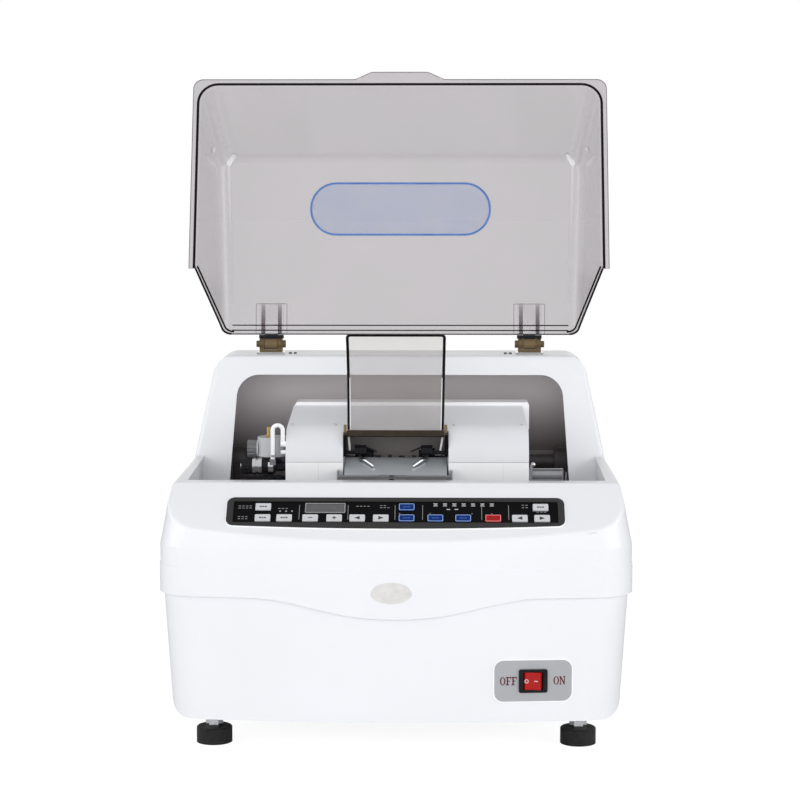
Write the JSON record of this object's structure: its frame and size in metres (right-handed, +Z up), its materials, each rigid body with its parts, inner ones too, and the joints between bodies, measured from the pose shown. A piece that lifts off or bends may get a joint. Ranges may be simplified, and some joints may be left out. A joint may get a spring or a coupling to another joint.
{
  "type": "optical lens edger",
  "caption": "Table-top lens edger: bow-fronted case on levelling feet, hinged smoked lid, tilting sliding lens head over grinding wheels, sloped key panel, rocker switch.",
  "frame": {"origin": "middle of the footprint, on the plane the feet stand on", "axes": "+Z up, +X to the operator's right, -Y towards the operator"},
  "size_m": [0.524, 0.4264, 0.7571],
  "materials": {
    "case_white": "gloss",
    "cover_white": "satin",
    "smoke_plastic": "clear gloss",
    "bay_dark": "satin",
    "liner_grey": "satin",
    "steel_sheet": "brushed",
    "steel_machined": "turned",
    "cast_grey": "as cast",
    "foot_rubber": "matte",
    "chrome": "polished",
    "bronze": "satin",
    "black_plastic": "satin",
    "grey_plastic": "satin",
    "panel_grey": "satin",
    "panel_black": "gloss",
    "window_dark": "gloss",
    "key_white": "gloss",
    "key_blue": "gloss",
    "key_red": "gloss",
    "rocker_red": "gloss",
    "switch_grey": "satin",
    "board_green": "satin",
    "motor_paint": "satin",
    "abrasive": "sintered",
    "belt_rubber": "matte",
    "hose_white": "satin"
  },
  "bodies": {
    "casing": {"upper_cover": "case_white", "lower_case": "case_white", "base_plate": "steel_sheet", "rear_panel": "switch_grey", "power_inlet": "black_plastic", "water_fittings": "grey_plastic", "foot_pads": "foot_rubber", "levelling_studs": "chrome", "wet_tub": "bay_dark", "hood_liner": "liner_grey", "drive_motor": "motor_paint", "drive_belt": "belt_rubber", "power_supply": "motor_paint", "spindle_housing": "cast_grey", "guide_shaft": "steel_machined", "panel_bezel": "panel_grey", "panel_face": "panel_black", "display_window": "window_dark", "control_board": "board_green", "switch_plate": "switch_grey", "rocker_bezel": "black_plastic", "lid_hinges": "bronze"},
    "wheel_spindle": {"spindle": "steel_machined", "grinding_wheels": "abrasive"},
    "motor_shaft": {"motor_rotor": "steel_machined"},
    "lid": {"lid_shell": "smoke_plastic", "hinge_leaves": "steel_machined"},
    "rocker": {"power_rocker": "rocker_red"},
    "carriage": {"carriage_sleeve": "bronze"},
    "head": {"head_frame": "cover_white", "head_cover": "cover_white", "arm_covers": "cover_white", "lens_bay": "bay_dark", "splash_apron": "steel_sheet", "water_nozzles": "black_plastic", "valve_body": "grey_plastic", "water_hose": "hose_white", "size_gauge": "black_plastic", "pressure_cylinder": "steel_machined"},
    "flap": {"splash_flap": "smoke_plastic", "flap_bar": "bronze"},
    "left_chuck": {"left_chuck": "black_plastic"},
    "clamp": {"clamp_quill": "steel_machined"},
    "right_chuck": {"right_chuck": "black_plastic"},
    "size_dial": {"size_dial": "black_plastic"},
    "key_left_top": {"key_left_top": "key_white"},
    "key_left_low": {"key_left_low": "key_white"},
    "key_left_inner": {"key_left_inner": "key_white"},
    "key_minus": {"key_minus": "key_white"},
    "key_plus": {"key_plus": "key_white"},
    "key_back": {"key_back": "key_white"},
    "key_forward": {"key_forward": "key_white"},
    "key_blue_top": {"key_blue_top": "key_blue"},
    "key_blue_low": {"key_blue_low": "key_blue"},
    "key_blue_middle": {"key_blue_middle": "key_blue"},
    "key_blue_right": {"key_blue_right": "key_blue"},
    "key_red": {"key_red": "key_red"},
    "key_nudge_left": {"key_nudge_left": "key_white"},
    "key_nudge_right": {"key_nudge_right": "key_white"},
    "key_right_top": {"key_right_top": "key_white"}
  },
  "joints": [
    {"name": "lid_hinge", "type": "hinge", "parent": "casing", "child": "lid", "pos_m": [0, 0.1412, 0.4264], "axis": [1, 0, 0], "range_deg": [0, 108.2]},
    {"name": "spindle_spin", "type": "hinge", "parent": "casing", "child": "wheel_spindle", "pos_m": [0, 0.0203, 0.207], "axis": [1, 0, 0], "continuous": true},
    {"name": "motor_spin", "type": "hinge", "parent": "casing", "child": "motor_shaft", "pos_m": [0, 0.1483, 0.115], "axis": [1, 0, 0], "continuous": true},
    {"name": "carriage_slide", "type": "slide", "parent": "casing", "child": "carriage", "axis": [1, 0, 0], "range_m": [-0.02, 0.02]},
    {"name": "head_tilt", "type": "hinge", "parent": "carriage", "child": "head", "pos_m": [0, 0.1403, 0.281], "axis": [-1, 0, 0], "range_deg": [0, 8]},
    {"name": "flap_hinge", "type": "hinge", "parent": "head", "child": "flap", "pos_m": [0, -0.0077, 0.331], "axis": [1, 0, 0], "range_deg": [0, 125]},
    {"name": "left_chuck_spin", "type": "hinge", "parent": "head", "child": "left_chuck", "pos_m": [-0.06, 0.0203, 0.304], "axis": [1, 0, 0], "continuous": true},
    {"name": "clamp_slide", "type": "slide", "parent": "head", "child": "clamp", "axis": [-1, 0, 0], "range_m": [0, 0.045]},
    {"name": "right_chuck_spin", "type": "hinge", "parent": "clamp", "child": "right_chuck", "pos_m": [0.06, 0.0203, 0.304], "axis": [1, 0, 0], "continuous": true},
    {"name": "size_dial_turn", "type": "hinge", "parent": "head", "child": "size_dial", "pos_m": [-0.17, -0.0047, 0.2937], "axis": [1, 0, 0], "range_deg": [-150, 150]},
    {"name": "rocker_tilt", "type": "hinge", "parent": "casing", "child": "rocker", "pos_m": [0.15054, -0.19711, 0.08306], "axis": [0.0018, -0.0209, 0.9998], "range_deg": [0, 16]},
    {"name": "key_left_top_press", "type": "slide", "parent": "casing", "child": "key_left_top", "axis": [0, 0.6468, -0.7627], "range_m": [0, 0.0008], "stiffness_N_per_m": 150, "springref_m": -0.0006},
    {"name": "key_left_low_press", "type": "slide", "parent": "casing", "child": "key_left_low", "axis": [0, 0.6468, -0.7627], "range_m": [0, 0.0008], "stiffness_N_per_m": 150, "springref_m": -0.0006},
    {"name": "key_left_inner_press", "type": "slide", "parent": "casing", "child": "key_left_inner", "axis": [0, 0.6468, -0.7627], "range_m": [0, 0.0008], "stiffness_N_per_m": 150, "springref_m": -0.0006},
    {"name": "key_minus_press", "type": "slide", "parent": "casing", "child": "key_minus", "axis": [0, 0.6468, -0.7627], "range_m": [0, 0.0008], "stiffness_N_per_m": 150, "springref_m": -0.0006},
    {"name": "key_plus_press", "type": "slide", "parent": "casing", "child": "key_plus", "axis": [0, 0.6468, -0.7627], "range_m": [0, 0.0008], "stiffness_N_per_m": 150, "springref_m": -0.0006},
    {"name": "key_back_press", "type": "slide", "parent": "casing", "child": "key_back", "axis": [0, 0.6468, -0.7627], "range_m": [0, 0.0008], "stiffness_N_per_m": 150, "springref_m": -0.0006},
    {"name": "key_forward_press", "type": "slide", "parent": "casing", "child": "key_forward", "axis": [0, 0.6468, -0.7627], "range_m": [0, 0.0008], "stiffness_N_per_m": 150, "springref_m": -0.0006},
    {"name": "key_blue_top_press", "type": "slide", "parent": "casing", "child": "key_blue_top", "axis": [0, 0.6468, -0.7627], "range_m": [0, 0.0008], "stiffness_N_per_m": 150, "springref_m": -0.0006},
    {"name": "key_blue_low_press", "type": "slide", "parent": "casing", "child": "key_blue_low", "axis": [0, 0.6468, -0.7627], "range_m": [0, 0.0008], "stiffness_N_per_m": 150, "springref_m": -0.0006},
    {"name": "key_blue_middle_press", "type": "slide", "parent": "casing", "child": "key_blue_middle", "axis": [0, 0.6468, -0.7627], "range_m": [0, 0.0008], "stiffness_N_per_m": 150, "springref_m": -0.0006},
    {"name": "key_blue_right_press", "type": "slide", "parent": "casing", "child": "key_blue_right", "axis": [0, 0.6468, -0.7627], "range_m": [0, 0.0008], "stiffness_N_per_m": 150, "springref_m": -0.0006},
    {"name": "key_red_press", "type": "slide", "parent": "casing", "child": "key_red", "axis": [0, 0.6468, -0.7627], "range_m": [0, 0.0008], "stiffness_N_per_m": 150, "springref_m": -0.0006},
    {"name": "key_nudge_left_press", "type": "slide", "parent": "casing", "child": "key_nudge_left", "axis": [0, 0.6468, -0.7627], "range_m": [0, 0.0008], "stiffness_N_per_m": 150, "springref_m": -0.0006},
    {"name": "key_nudge_right_press", "type": "slide", "parent": "casing", "child": "key_nudge_right", "axis": [0, 0.6468, -0.7627], "range_m": [0, 0.0008], "stiffness_N_per_m": 150, "springref_m": -0.0006},
    {"name": "key_right_top_press", "type": "slide", "parent": "casing", "child": "key_right_top", "axis": [0, 0.6468, -0.7627], "range_m": [0, 0.0008], "stiffness_N_per_m": 150, "springref_m": -0.0006}
  ],
  "couplings": [
    {"joint": "flap_hinge", "follows": "lid_hinge", "ratio": 1.155},
    {"joint": "motor_spin", "follows": "spindle_spin", "ratio": 0.8},
    {"joint": "left_chuck_spin", "follows": "right_chuck_spin", "ratio": 1}
  ]
}
